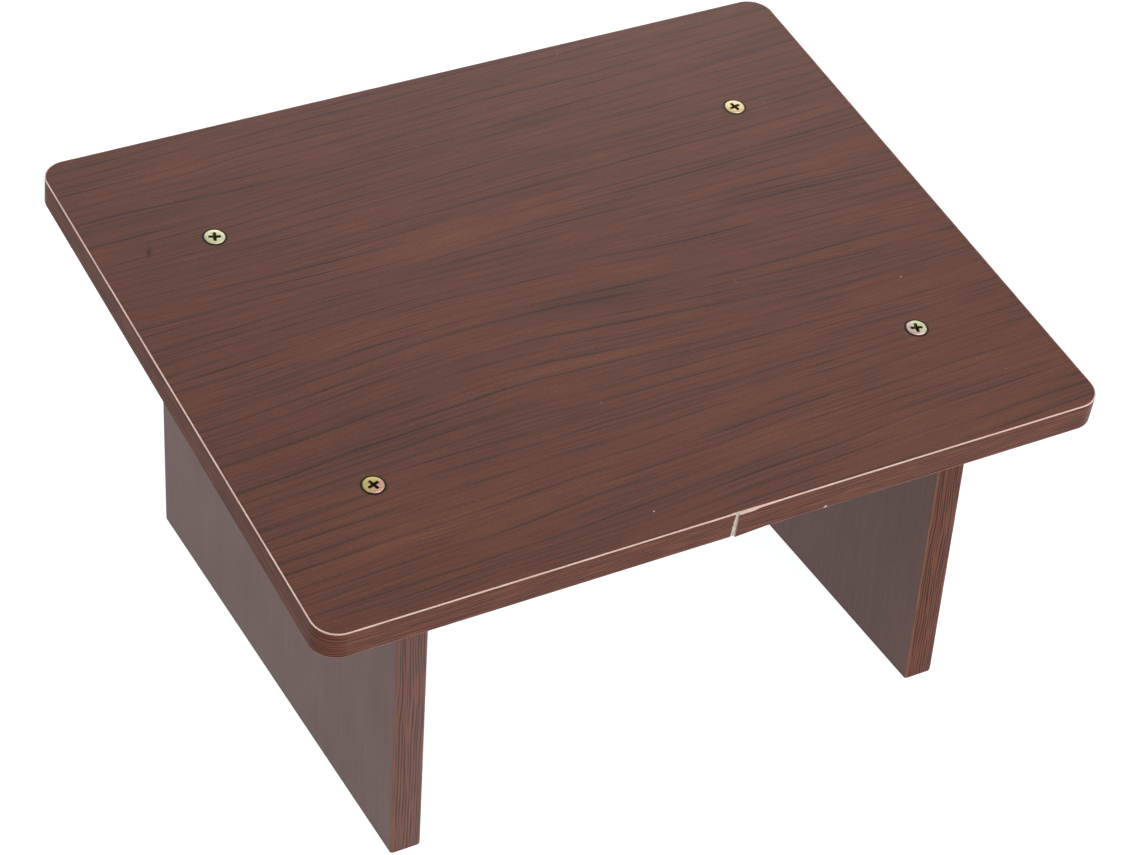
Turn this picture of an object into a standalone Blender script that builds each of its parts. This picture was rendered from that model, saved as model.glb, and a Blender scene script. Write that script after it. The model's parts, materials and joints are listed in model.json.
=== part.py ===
"""Monitor riser stand: a sloping shelf on two leg panels, of faced particleboard with edge bands and screws.

Frame: +X along the shelf's long side, -Y to the front, +Z up. The origin is on the floor, under the middle
of the shelf. Every length is in metres. The shelf's own frame, which its pieces and the screws are built in,
has its origin in the middle of the board and tilts with it: x along, u up the slope, n out of the top face.
"""

import math

import bmesh
import bpy

# Shelf
SHELF_WIDTH = 0.400
SHELF_DEPTH = 0.323
SHELF_HEIGHT = 0.1884            # floor to the middle of the board
SHELF_SLOPE = math.radians(7.1)  # the back edge is the higher one
CORNER_RADIUS = 0.0125

# Faced board, the same for the shelf and the legs
BOARD_THICKNESS = 0.015
LAMINATE_THICKNESS = 0.0003
GLUE_LINE = 0.0001

# Legs
LEG_SPACING = 0.2826             # between the middles of the two panels
LEG_DEPTH = 0.2652
LEG_SETBACK = 0.0029             # how far the legs' middle lies behind the shelf's middle
SEAT_GAP = 0.0001                # under the shelf, above the legs' top ends

# Edge bands: thickness, then how far each trimmed edge is bevelled into the band and along the face
SHELF_BAND = 0.0008
SHELF_TOP_BEVEL = (0.0004, 0.0009)
SHELF_BOTTOM_BEVEL = (0.0002, 0.0003)
BAND_JOINT_X = 0.0010            # middle of the gap where the shelf band's two ends meet
BAND_JOINT_GAP = 0.0020
LEG_BAND = 0.0006
LEG_BEVEL = (0.0004, 0.0009)

# Screws, 5 x 50 mm, countersunk, cross recess no. 2
SCREW_FRONT_U = -0.0873          # up the slope from the shelf's middle
SCREW_BACK_U = 0.0861
SCREW_LENGTH = 0.050
SCREW_RADIUS = 0.0025
SCREW_TIP_RADIUS = 0.0003
SCREW_TIP_LENGTH = 0.008
HEAD_RADIUS = 0.0049
HEAD_LAND = 0.0004               # the straight rim above the countersink cone
HEAD_PROUD = 0.0004              # how far the head stands above the top face
HEAD_EASE = 0.0002               # rounding of the head's top corner
HOLE_CLEARANCE = 0.0003
RECESS_DEPTH = 0.0028
RECESS_SPAN = 0.0052
RECESS_FLOOR_SPAN = 0.0022
RECESS_ARM = 0.0011
RECESS_FLOOR_ARM = 0.0007
HEAD_TURNS = {                   # how far each cross is turned from the shelf's edges
    "front_left_screw": math.radians(19),
    "front_right_screw": math.radians(-15),
    "back_left_screw": math.radians(-19),
    "back_right_screw": math.radians(13),
}

# Facets
CORNER_SEGMENTS = 12             # in a quarter turn
ROUND_SEGMENTS = 32              # in a full turn
SHARP_ANGLE = math.radians(35)   # faces that meet at more than this keep a crisp edge

# Base colour, metallic and roughness
FINISHES = {
    "particleboard": ((0.42, 0.30, 0.19), 0.0, 0.85),
    "mahogany_laminate": ((0.140, 0.066, 0.050), 0.0, 0.45),
    "mahogany_band": ((0.165, 0.080, 0.062), 0.0, 0.42),
    "yellow_zinc": ((0.62, 0.56, 0.33), 0.9, 0.32),
}

TOP_N = BOARD_THICKNESS / 2
SKIN = LAMINATE_THICKNESS + GLUE_LINE


def clear_scene():
    for old in list(bpy.data.objects):
        bpy.data.objects.remove(old, do_unlink=True)


def finish_material(name):
    """The Principled BSDF material of that finish, made the first time it is asked for."""
    if name in bpy.data.materials:
        return bpy.data.materials[name]
    colour, metallic, roughness = FINISHES[name]
    material = bpy.data.materials.new(name)
    material.use_nodes = True
    shader = material.node_tree.nodes["Principled BSDF"]
    shader.inputs["Base Color"].default_value = (*colour, 1.0)
    shader.inputs["Metallic"].default_value = metallic
    shader.inputs["Roughness"].default_value = roughness
    return material


def add_group(name, location, slope=0.0):
    """An empty that the pieces of one board are parented to."""
    empty = bpy.data.objects.new(name, None)
    bpy.context.scene.collection.objects.link(empty)
    empty.location = location
    empty.rotation_euler = (slope, 0.0, 0.0)
    return empty


def add_piece(name, bm, finish, parent):
    """A mesh object made from bm, facing outwards, in parent's frame."""
    bmesh.ops.recalc_face_normals(bm, faces=bm.faces)
    mesh = bpy.data.meshes.new(name)
    bm.to_mesh(mesh)
    bm.free()
    mesh.materials.append(finish_material(finish))
    piece = bpy.data.objects.new(name, mesh)
    bpy.context.scene.collection.objects.link(piece)
    piece.parent = parent
    return piece


def hide_cutter(cutter):
    cutter.hide_render = True
    cutter.display_type = "WIRE"


def cut(piece, cutter):
    """Takes cutter's shape out of piece with a Boolean modifier."""
    modifier = piece.modifiers.new(cutter.name, "BOOLEAN")
    modifier.operation = "DIFFERENCE"
    modifier.solver = "EXACT"
    modifier.object = cutter


def shade_round(piece):
    piece.data.shade_smooth()
    piece.data.set_sharp_from_angle(angle=SHARP_ANGLE)


def rounded_rectangle(width, depth, radius):
    """(x, u, outward x, outward u) round a rounded rectangle, anticlockwise from the middle of its front."""
    points = []
    for corner in range(4):
        start = -math.pi / 2 + corner * math.pi / 2
        middle = start + math.pi / 4
        centre_x = math.copysign(width / 2 - radius, math.cos(middle))
        centre_u = math.copysign(depth / 2 - radius, math.sin(middle))
        for step in range(CORNER_SEGMENTS + 1):
            angle = start + step * (math.pi / 2) / CORNER_SEGMENTS
            out_x, out_u = math.cos(angle), math.sin(angle)
            points.append((centre_x + radius * out_x, centre_u + radius * out_u, out_x, out_u))
    return points


def prism(outline, bottom, top):
    """A closed solid over an outline of (x, y) points; bottom and top give the height at a given y."""
    bm = bmesh.new()
    lower = [bm.verts.new((x, y, bottom(y))) for x, y in outline]
    upper = [bm.verts.new((x, y, top(y))) for x, y in outline]
    bm.faces.new(lower)
    bm.faces.new(upper)
    for k in range(len(outline)):
        following = (k + 1) % len(outline)
        bm.faces.new((lower[k], lower[following], upper[following], upper[k]))
    return bm


def flat_prism(outline, low, high):
    return prism(outline, lambda y: low, lambda y: high)


def turned(profile, segments=ROUND_SEGMENTS):
    """A closed solid turned about Z from (radius, height) points that run downwards; both ends get a cap."""
    bm = bmesh.new()
    rings = []
    for radius, height in profile:
        ring = []
        for k in range(segments):
            angle = 2 * math.pi * k / segments
            ring.append(bm.verts.new((radius * math.cos(angle), radius * math.sin(angle), height)))
        rings.append(ring)
    for above, below in zip(rings, rings[1:]):
        for k in range(segments):
            following = (k + 1) % segments
            bm.faces.new((above[k], above[following], below[following], below[k]))
    bm.faces.new(rings[0])
    bm.faces.new(rings[-1])
    return bm


# ---------------------------------------------------------------- shelf


def board_outline():
    """The rim of the shelf's core and laminates, inside the edge band."""
    inset = SHELF_BAND + GLUE_LINE
    rim = rounded_rectangle(SHELF_WIDTH - 2 * inset, SHELF_DEPTH - 2 * inset, CORNER_RADIUS - inset)
    return [(x, u) for x, u, _, _ in rim]


def shelf_band_section():
    """(outward, n) corners of the shelf band's section, from its lower inner corner, anticlockwise."""
    top_in, top_down = SHELF_TOP_BEVEL
    bottom_in, bottom_up = SHELF_BOTTOM_BEVEL
    return [
        (-SHELF_BAND, -TOP_N),
        (-bottom_in, -TOP_N),
        (0.0, -TOP_N + bottom_up),
        (0.0, TOP_N - top_down),
        (-top_in, TOP_N),
        (-SHELF_BAND, TOP_N),
    ]


def band_path():
    """The shelf's outline from the right side of the band's joint round to its left side."""
    front = -SHELF_DEPTH / 2
    start = (BAND_JOINT_X + BAND_JOINT_GAP / 2, front, 0.0, -1.0)
    end = (BAND_JOINT_X - BAND_JOINT_GAP / 2, front, 0.0, -1.0)
    rim = rounded_rectangle(SHELF_WIDTH, SHELF_DEPTH, CORNER_RADIUS)
    right_front_corner_first = rim[: CORNER_SEGMENTS + 1]
    rest = rim[CORNER_SEGMENTS + 1:]
    return [start, *right_front_corner_first, *rest, end]


def swept_band(path, section):
    """A strip with the given section, following the path, closed by a face at each end."""
    bm = bmesh.new()
    rings = []
    for x, u, out_x, out_u in path:
        rings.append([bm.verts.new((x + out_x * out, u + out_u * out, n)) for out, n in section])
    for ring, following_ring in zip(rings, rings[1:]):
        for k in range(len(section)):
            following = (k + 1) % len(section)
            bm.faces.new((ring[k], ring[following], following_ring[following], following_ring[k]))
    bm.faces.new(rings[0])
    bm.faces.new(rings[-1])
    return bm


def make_shelf(parent):
    outline = board_outline()
    core = add_piece("shelf_core", flat_prism(outline, -TOP_N + SKIN, TOP_N - SKIN), "particleboard", parent)
    upper = flat_prism(outline, TOP_N - LAMINATE_THICKNESS, TOP_N)
    lower = flat_prism(outline, -TOP_N, -TOP_N + LAMINATE_THICKNESS)
    top_laminate = add_piece("shelf_top_laminate", upper, "mahogany_laminate", parent)
    bottom_laminate = add_piece("shelf_bottom_laminate", lower, "mahogany_laminate", parent)
    band = swept_band(band_path(), shelf_band_section())
    shade_round(add_piece("shelf_edge_band", band, "mahogany_band", parent))
    return core, top_laminate, bottom_laminate


# ---------------------------------------------------------------- legs


def under_shelf(y):
    """Height of a leg's top end at a given y: the shelf's underside, less the seat gap."""
    n = -(TOP_N + SEAT_GAP)
    return SHELF_HEIGHT + y * math.tan(SHELF_SLOPE) + n / math.cos(SHELF_SLOPE)


def leg_slab(x_low, x_high):
    """The part of a leg between two heights of its thickness, inside its bands."""
    inset = LEG_BAND + GLUE_LINE
    front = LEG_SETBACK - LEG_DEPTH / 2 + inset
    back = LEG_SETBACK + LEG_DEPTH / 2 - inset
    outline = [(x_low, front), (x_high, front), (x_high, back), (x_low, back)]
    return prism(outline, lambda y: inset, under_shelf)


def upright_band(front):
    """The band on a leg's front or back edge, from the floor to the shelf, its long outer edges bevelled."""
    into, along = LEG_BEVEL
    half = BOARD_THICKNESS / 2
    side = -1 if front else 1
    face = LEG_SETBACK + side * LEG_DEPTH / 2
    section = [
        (-half, face - side * LEG_BAND),
        (-half, face - side * into),
        (-half + along, face),
        (half - along, face),
        (half, face - side * into),
        (half, face - side * LEG_BAND),
    ]
    return prism(section, lambda y: 0.0, under_shelf)


def foot_band():
    """The band on a leg's lower end, between the front and back bands."""
    half = BOARD_THICKNESS / 2
    inset = LEG_BAND + GLUE_LINE
    front = LEG_SETBACK - LEG_DEPTH / 2 + inset
    back = LEG_SETBACK + LEG_DEPTH / 2 - inset
    outline = [(-half, front), (half, front), (half, back), (-half, back)]
    return flat_prism(outline, 0.0, LEG_BAND)


def make_leg(side_name, side, parent):
    """One leg about its own middle plane; side is -1 for the left leg and 1 for the right one."""
    half = BOARD_THICKNESS / 2
    core = add_piece(f"{side_name}_leg_core", leg_slab(-half + SKIN, half - SKIN), "particleboard", parent)
    for face_name, facing in (("outer", side), ("inner", -side)):
        x_edges = sorted((facing * half, facing * (half - LAMINATE_THICKNESS)))
        add_piece(f"{side_name}_leg_{face_name}_laminate", leg_slab(*x_edges), "mahogany_laminate", parent)
    add_piece(f"{side_name}_leg_front_band", upright_band(True), "mahogany_band", parent)
    add_piece(f"{side_name}_leg_back_band", upright_band(False), "mahogany_band", parent)
    add_piece(f"{side_name}_leg_bottom_band", foot_band(), "mahogany_band", parent)
    return core


# ---------------------------------------------------------------- screws


def screw_profile():
    """(radius, height) down the screw's outline, from the top of its head; height 0 is the shelf's top face."""
    head_top = HEAD_PROUD
    cone_top = head_top - HEAD_LAND
    cone_bottom = cone_top - (HEAD_RADIUS - SCREW_RADIUS)
    tip = head_top - SCREW_LENGTH
    return [
        (HEAD_RADIUS - HEAD_EASE, head_top),
        (HEAD_RADIUS, head_top - HEAD_EASE),
        (HEAD_RADIUS, cone_top),
        (SCREW_RADIUS, cone_bottom),
        (SCREW_RADIUS, tip + SCREW_TIP_LENGTH),
        (SCREW_TIP_RADIUS, tip),
    ]


def hole_profile():
    """(radius, height) down the hole for a screw: countersink, clearance through the shelf, blind in the leg."""
    above = HEAD_PROUD + HOLE_CLEARANCE
    rim = HEAD_RADIUS + HOLE_CLEARANCE
    bore = SCREW_RADIUS + HOLE_CLEARANCE
    cone_top = HEAD_PROUD - HEAD_LAND - HOLE_CLEARANCE
    bottom = HEAD_PROUD - SCREW_LENGTH - HOLE_CLEARANCE
    return [(rim, above), (rim, cone_top), (bore, cone_top - (rim - bore)), (bore, bottom)]


def recess_cutter():
    """A tapering cross, its top clear of the head and its floor RECESS_DEPTH down."""
    overlap = HOLE_CLEARANCE
    top = HEAD_PROUD + overlap
    floor = HEAD_PROUD - RECESS_DEPTH
    grow = 1 + overlap / RECESS_DEPTH
    top_reach = (RECESS_FLOOR_SPAN + (RECESS_SPAN - RECESS_FLOOR_SPAN) * grow) / 2
    top_half = (RECESS_FLOOR_ARM + (RECESS_ARM - RECESS_FLOOR_ARM) * grow) / 2
    bm = bmesh.new()
    rings = []
    for reach, half, height in ((top_reach, top_half, top), (RECESS_FLOOR_SPAN / 2, RECESS_FLOOR_ARM / 2, floor)):
        ring = []
        for quarter in range(4):
            angle = quarter * math.pi / 2
            for along, across in ((half, -half), (reach, -half), (reach, half)):
                x = along * math.cos(angle) - across * math.sin(angle)
                y = along * math.sin(angle) + across * math.cos(angle)
                ring.append(bm.verts.new((x, y, height)))
        rings.append(ring)
    upper, lower = rings
    bm.faces.new(upper)
    bm.faces.new(lower)
    for k in range(len(upper)):
        following = (k + 1) % len(upper)
        bm.faces.new((upper[k], upper[following], lower[following], lower[k]))
    return bm


def make_screw(name, x, u, parent, drilled):
    """One screw at (x, u) on the shelf, turned by its own angle, and its hole through the drilled pieces."""
    place = (x, u, TOP_N)
    screw = add_piece(name, turned(screw_profile()), "yellow_zinc", parent)
    recess = add_piece(f"{name}_recess_cutter", recess_cutter(), "yellow_zinc", parent)
    hole = add_piece(f"{name}_hole_cutter", turned(hole_profile()), "particleboard", parent)
    for thing in (screw, recess, hole):
        thing.location = place
    for thing in (screw, recess):
        thing.rotation_euler = (0.0, 0.0, HEAD_TURNS[name])
    hide_cutter(recess)
    hide_cutter(hole)
    cut(screw, recess)
    for piece in drilled:
        cut(piece, hole)
    shade_round(screw)


def build():
    clear_scene()
    shelf = add_group("shelf", (0.0, 0.0, SHELF_HEIGHT), SHELF_SLOPE)
    shelf_pieces = make_shelf(shelf)
    for side_name, side in (("left", -1), ("right", 1)):
        x = side * LEG_SPACING / 2
        leg = add_group(f"{side_name}_leg", (x, 0.0, 0.0))
        leg_core = make_leg(side_name, side, leg)
        for end_name, u in (("front", SCREW_FRONT_U), ("back", SCREW_BACK_U)):
            make_screw(f"{end_name}_{side_name}_screw", x, u, shelf, [*shelf_pieces, leg_core])


build()
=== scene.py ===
"""Looks of the monitor riser stand: boards with printed wood grain, trimmed edge bands and zinc screws."""
import json
import math

import bmesh
import bpy
from mathutils import Matrix, Vector, noise


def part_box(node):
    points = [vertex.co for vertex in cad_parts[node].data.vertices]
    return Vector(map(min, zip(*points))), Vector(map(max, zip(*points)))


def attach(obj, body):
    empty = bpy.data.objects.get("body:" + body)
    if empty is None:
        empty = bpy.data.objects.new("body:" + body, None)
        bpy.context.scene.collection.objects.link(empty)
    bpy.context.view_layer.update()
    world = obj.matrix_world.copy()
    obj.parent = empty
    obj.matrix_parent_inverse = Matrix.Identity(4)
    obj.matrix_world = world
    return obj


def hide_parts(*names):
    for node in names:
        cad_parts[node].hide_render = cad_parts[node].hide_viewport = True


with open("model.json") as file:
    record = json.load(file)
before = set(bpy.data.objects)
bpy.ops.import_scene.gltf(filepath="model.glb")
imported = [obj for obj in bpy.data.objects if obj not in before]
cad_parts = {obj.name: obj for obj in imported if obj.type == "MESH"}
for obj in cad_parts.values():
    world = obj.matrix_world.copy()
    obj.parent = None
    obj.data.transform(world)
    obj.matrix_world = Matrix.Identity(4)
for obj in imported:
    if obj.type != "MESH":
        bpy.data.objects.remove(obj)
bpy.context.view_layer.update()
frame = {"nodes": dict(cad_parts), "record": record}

# ---------------------------------------------------------------- the frame's own directions and sizes

MM = 0.001
mounts = {m["name"]: m for m in frame["record"]["mounts"]}
NORMAL = Vector(mounts["shelf_top"]["axis"]).normalized()    # out of the shelf's top face
ALONG = Vector((1, 0, 0))                                    # left to right, as the shelf's grain runs
UPHILL = NORMAL.cross(ALONG).normalized()                    # up the slope, from front to back
BACK = Vector((0, 1, 0))
UP = Vector((0, 0, 1))


def span(node, direction):
    """(lowest, highest) of a CAD node's points along a direction."""
    reach = [v.co.dot(direction) for v in frame["nodes"][node].data.vertices]
    return min(reach), max(reach)


def middle(node, direction):
    low, high = span(node, direction)
    return (low + high) / 2


SHELF_WIDTH = span("shelf_edge_band", ALONG)[1] - span("shelf_edge_band", ALONG)[0]
SHELF_DEPTH = span("shelf_edge_band", UPHILL)[1] - span("shelf_edge_band", UPHILL)[0]
SHELF_U = middle("shelf_core", UPHILL)
SHELF_N = middle("shelf_core", NORMAL)
TOP_N = span("shelf_top_laminate", NORMAL)[1] - SHELF_N      # from the board's middle to its top face

# The shelf's own frame: x along it, u up its slope and n out of its top, from the middle of the board.
SHELF_TURN = Matrix((ALONG, UPHILL, NORMAL)).transposed().to_4x4()
SHELF = Matrix.Translation(UPHILL * SHELF_U + NORMAL * SHELF_N) @ SHELF_TURN


# ---------------------------------------------------------------- node materials


class Look:
    """Builds one node material. Most methods add nodes and return an output for the next ones to use."""

    def __init__(self, name, metallic=0.0, specular=0.2):
        self.material = bpy.data.materials.new(name)
        self.material.use_nodes = True
        self.tree = self.material.node_tree
        self.shader = self.tree.nodes["Principled BSDF"]
        self.set("Metallic", metallic)
        self.set("Specular IOR Level", specular)

    def set(self, name, value):
        self.plug(self.shader.inputs[name], value)

    def plug(self, socket, value):
        if isinstance(value, bpy.types.NodeSocket):
            self.tree.links.new(value, socket)
        else:
            socket.default_value = value

    def math(self, operation, *values):
        node = self.tree.nodes.new("ShaderNodeMath")
        node.operation = operation
        for socket, value in zip(node.inputs, values):
            self.plug(socket, value)
        return node.outputs[0]

    def add(self, *values):
        total = values[0]
        for value in values[1:]:
            total = self.math("ADD", total, value)
        return total

    def times(self, *values):
        total = values[0]
        for value in values[1:]:
            total = self.math("MULTIPLY", total, value)
        return total

    def millimetres(self, direction, origin=0.0):
        """How far the surface point lies along a direction, in millimetres from origin (in metres)."""
        place = self.tree.nodes.new("ShaderNodeTexCoord")
        node = self.tree.nodes.new("ShaderNodeVectorMath")
        node.operation = "DOT_PRODUCT"
        self.tree.links.new(place.outputs["Object"], node.inputs[0])
        node.inputs[1].default_value = direction / MM
        return self.math("SUBTRACT", node.outputs["Value"], origin / MM)

    def stored(self, name):
        """(x, y) of a vector that the mesh stores at its points, in millimetres."""
        node = self.tree.nodes.new("ShaderNodeAttribute")
        node.attribute_name = name
        split = self.tree.nodes.new("ShaderNodeSeparateXYZ")
        self.tree.links.new(node.outputs["Vector"], split.inputs[0])
        return split.outputs["X"], split.outputs["Y"]

    def point(self, x, y, z=0.0):
        node = self.tree.nodes.new("ShaderNodeCombineXYZ")
        for socket, value in zip(node.inputs, (x, y, z)):
            self.plug(socket, value)
        return node.outputs[0]

    def noise(self, along, across, length, width, seed, detail=1.0):
        """Noise from 0 to 1 whose features are about length by width millimetres."""
        node = self.tree.nodes.new("ShaderNodeTexNoise")
        place = self.point(self.times(along, 1 / length), self.times(across, 1 / width), seed)
        self.plug(node.inputs["Vector"], place)
        node.inputs["Scale"].default_value = 1.0
        node.inputs["Detail"].default_value = detail
        node.inputs["Roughness"].default_value = 0.5
        return node.outputs["Fac"]

    def wave(self, along, across, layer, seed, detail=1.0):
        """Noise centred on 0; layer is (strength, length, width)."""
        strength, length, width = layer
        noise_part = self.noise(along, across, length, width, seed, detail)
        return self.times(self.math("SUBTRACT", noise_part, 0.5), strength)

    def ramp(self, value, *stops):
        """A colour ramp; each stop is (position, grey or (r, g, b))."""
        node = self.tree.nodes.new("ShaderNodeValToRGB")
        self.plug(node.inputs["Fac"], value)
        elements = node.color_ramp.elements
        while len(elements) < len(stops):
            elements.new(0.5)
        for element, (position, colour) in zip(elements, stops):
            element.position = position
            element.color = (*colour, 1.0) if isinstance(colour, tuple) else (colour, colour, colour, 1.0)
        return node.outputs["Color"]

    def mix(self, share, first, second):
        node = self.tree.nodes.new("ShaderNodeMix")
        node.data_type = "RGBA"
        self.plug(node.inputs["Factor"], share)
        for name, value in (("A", first), ("B", second)):
            socket = [s for s in node.inputs if s.name == name and s.type == "RGBA"][0]
            self.plug(socket, (*value, 1.0) if isinstance(value, tuple) else value)
        return [s for s in node.outputs if s.type == "RGBA"][0]

    def hump(self, along, across, spot):
        """1 in the middle of a long soft spot and 0 well away; spot is (x, y, half length, half width)."""
        x, y, half_length, half_width = spot
        dx = self.times(self.math("SUBTRACT", along, x), 1 / half_length)
        dy = self.times(self.math("SUBTRACT", across, y), 1 / half_width)
        squares = self.add(self.times(dx, dx), self.times(dy, dy))
        return self.math("EXPONENT", self.times(squares, -1.0))

    def bump(self, height, distance):
        """Bump from a height of 0 to 1 that stands for a real distance."""
        node = self.tree.nodes.new("ShaderNodeBump")
        node.inputs["Strength"].default_value = 1.0
        node.inputs["Distance"].default_value = distance
        self.plug(node.inputs["Height"], height)
        self.set("Normal", node.outputs["Normal"])


# ---------------------------------------------------------------- printed mahogany

# Wood tones, from the darkest growth line to the brightest red
WOOD_TONES = (
    (0.00, (0.028, 0.015, 0.014)),
    (0.25, (0.050, 0.025, 0.021)),
    (0.45, (0.070, 0.030, 0.023)),
    (0.65, (0.093, 0.035, 0.024)),
    (0.85, (0.118, 0.042, 0.027)),
    (1.00, (0.145, 0.052, 0.033)),
)

MIDDLE_TONE = 0.72                # where the print's mean lies in that range

# Strength, length and width, in millimetres, of the noise layers that change the tone
TONE_LAYERS = (
    (0.26, 190, 15),              # bands
    (0.30, 90, 4.0),              # streaks
    (0.80, 24, 0.5),              # fibres
    (0.70, 1.8, 0.5),             # flecks
)

# How far the grain lines stray sideways, and over what length and width, in millimetres
SWAY = (9.0, 170, 60)
SHIVER = (1.6, 38, 11)

# Three sets of dark lines. drift is how many spacings a line strays, and over what length and width. shade is
# how dark it is through one spacing. patch is the size of the patches where the lines fade, as fade says.
RINGS = {
    "drift": (2.4, 260, 22),
    "shade": ((0.0, 0.8), (0.03, 1.0), (0.09, 0.40), (0.30, 0.0), (0.97, 0.0), (1.0, 0.8)),
    "patch": (75, 9),
    "fade": ((0.36, 0.15), (0.60, 1.0)),
}
FINE_RINGS = {
    "drift": (2.2, 150, 9),
    "shade": ((0.0, 0.7), (0.10, 1.0), (0.30, 0.15), (0.50, 0.0), (0.92, 0.0), (1.0, 0.7)),
    "patch": (60, 14),
    "fade": ((0.42, 0.0), (0.60, 1.0)),
}
GROOVES = {
    "drift": (2.0, 45, 6),
    "shade": ((0.0, 0.4), (0.22, 1.0), (0.45, 0.35), (0.70, 0.0), (1.0, 0.4)),
    "patch": (22, 2.0),
    "fade": ((0.30, 0.25), (0.65, 1.0)),
}
RING_STRENGTH = 0.60
FINE_RING_STRENGTH = 0.34
FINE_TO_RING = 2.6                # fine lines in one spacing of the rings
GROOVE_SPACING = 1.4
GROOVE_LIFT = 0.28                # tone given back between the grooves, as a share of their strength
GROOVE_MOTTLE = (28, 0.8)         # length and width of the mottling between them

# How the shelf's grain lines rise, in millimetres: an even climb, less of it in the middle, and a low arch
CLIMB = 0.045
MIDDLE_CLIMB = -0.055
MIDDLE_SPOT = (0, -8, 1, 70)      # x, u, half length and half width, as for the arch
ARCH_RISE = 11.0
ARCH_SPOT = (-45, -22, 100, 40)

# Broad streaks of the shelf's figure, in millimetres: x, u, half length, half width, change of tone
SHELF_FIGURE = (
    (0, -24, 52, 6, -0.21),
    (-160, -49, 60, 3.5, -0.19),
    (-125, -66, 48, 10, -0.09),
    (140, -39, 60, 6, -0.12),
    (130, 20, 32, 3, -0.16),
    (40, 111, 34, 5, -0.10),
    (-10, 62, 60, 2.5, -0.07),
    (-95, -92, 30, 3.5, -0.14),
    (-10, -139, 50, 3, -0.14),
    (-150, 116, 60, 5, -0.09),
    (-30, 48, 85, 8, 0.11),
    (-90, -10, 50, 8, 0.09),
    (-52, -36, 26, 4, 0.15),
    (10, -57, 55, 3, 0.11),
    (90, -124, 90, 4, 0.14),
    (-120, -112, 80, 8, 0.09),
    (120, 130, 90, 9, 0.07),
    (-110, 145, 70, 6, 0.06),
)


def flow(look, along, across):
    """How far the shelf's grain lines have risen at a point."""
    climb = look.times(along, CLIMB)
    level = look.times(along, MIDDLE_CLIMB, look.hump(0.0, across, MIDDLE_SPOT))
    arch = look.times(look.hump(along, across, ARCH_SPOT), ARCH_RISE)
    return look.add(climb, level, arch)


def dark_lines(look, along, across, per_millimetre, seed, drift, shade, patch, fade):
    """1 on the darkest part of a set of lines and 0 between them."""
    place = look.add(look.times(across, per_millimetre), look.wave(along, across, drift, seed))
    line = look.ramp(look.math("FRACT", place), *shade)
    return look.times(line, look.ramp(look.noise(along, across, *patch, seed + 1), *fade))


def wood(look, along, across, seed, figure=(), curved=False, line_spacing=6.0, lines=1.0, grooves=0.0):
    """Colour of the wood print at a point, given along and across the grain in millimetres. lines scales the
    growth lines' strength, and grooves is the strength of fine parallel lines GROOVE_SPACING apart."""
    sway = look.wave(along, across, SWAY, seed)
    shiver = look.wave(along, across, SHIVER, seed + 1)
    across = look.add(across, sway, shiver)
    if curved:
        across = look.math("SUBTRACT", across, flow(look, along, across))
    layers = [look.wave(along, across, layer, seed + k, 2) for k, layer in enumerate(TONE_LAYERS, 2)]
    tone = look.add(MIDDLE_TONE, *layers)
    rings = dark_lines(look, along, across, 1 / line_spacing, seed + 6, **RINGS)
    tone = look.math("SUBTRACT", tone, look.times(rings, RING_STRENGTH * lines))
    fine_rings = dark_lines(look, along, across, FINE_TO_RING / line_spacing, seed + 8, **FINE_RINGS)
    tone = look.math("SUBTRACT", tone, look.times(fine_rings, FINE_RING_STRENGTH * lines))
    for *spot, change in figure:
        tone = look.add(tone, look.times(look.hump(along, across, spot), change))
    if grooves:
        cuts = dark_lines(look, along, across, 1 / GROOVE_SPACING, seed + 10, **GROOVES)
        tone = look.math("SUBTRACT", look.add(tone, grooves * GROOVE_LIFT), look.times(cuts, grooves))
        tone = look.add(tone, look.wave(along, across, (grooves, *GROOVE_MOTTLE), seed + 12))
    return look.ramp(tone, *WOOD_TONES)


def specks(look, along, across, spacing, radius, share):
    """1 on sparse round specks of dust: about one for each square of the spacing, times the share."""
    node = look.tree.nodes.new("ShaderNodeTexVoronoi")
    node.feature = "F1"
    look.plug(node.inputs["Vector"], look.point(along, across))
    node.inputs["Scale"].default_value = 1 / spacing
    near = look.math("LESS_THAN", node.outputs["Distance"], radius / spacing)
    lot = look.tree.nodes.new("ShaderNodeSeparateXYZ")
    look.tree.links.new(node.outputs["Color"], lot.inputs[0])
    return look.times(near, look.math("LESS_THAN", lot.outputs["X"], share))


PORE_SIZE = (3.0, 0.35)           # along and across the grain, in millimetres
PEEL_SIZE = (1.1, 0.9)
PATCH_SIZE = (45, 30)
PORE_DEPTH = 0.03 * MM


def finish_wood(look, along, across, colour, rough=0.40):
    """Connects the colour, and a pressed pore texture as bump and roughness, which stays near rough."""
    look.set("Base Color", colour)
    pores = look.noise(along, across, *PORE_SIZE, 3.3, detail=2)
    peel = look.noise(along, across, *PEEL_SIZE, 7.7, detail=1)
    look.bump(look.add(look.times(pores, 0.6), look.times(peel, 0.4)), PORE_DEPTH)
    patches = look.noise(along, across, *PATCH_SIZE, 1.7, detail=3)
    look.set("Roughness", look.add(rough - 0.09, look.times(patches, 0.10), look.times(pores, 0.08)))


BOARD_SPECULAR = 0.25
LEG_OUTER_SPECULAR = 0.18


def board_look(name, along_direction, across_direction, seed, specular=BOARD_SPECULAR):
    """A faced board's print away from the shelf's top, with fainter growth lines."""
    look = Look(name, specular=specular)
    along = look.millimetres(along_direction)
    across = look.millimetres(across_direction)
    colour = wood(look, along, across, seed, lines=0.25)
    finish_wood(look, along, across, colour)
    return look.material


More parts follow.
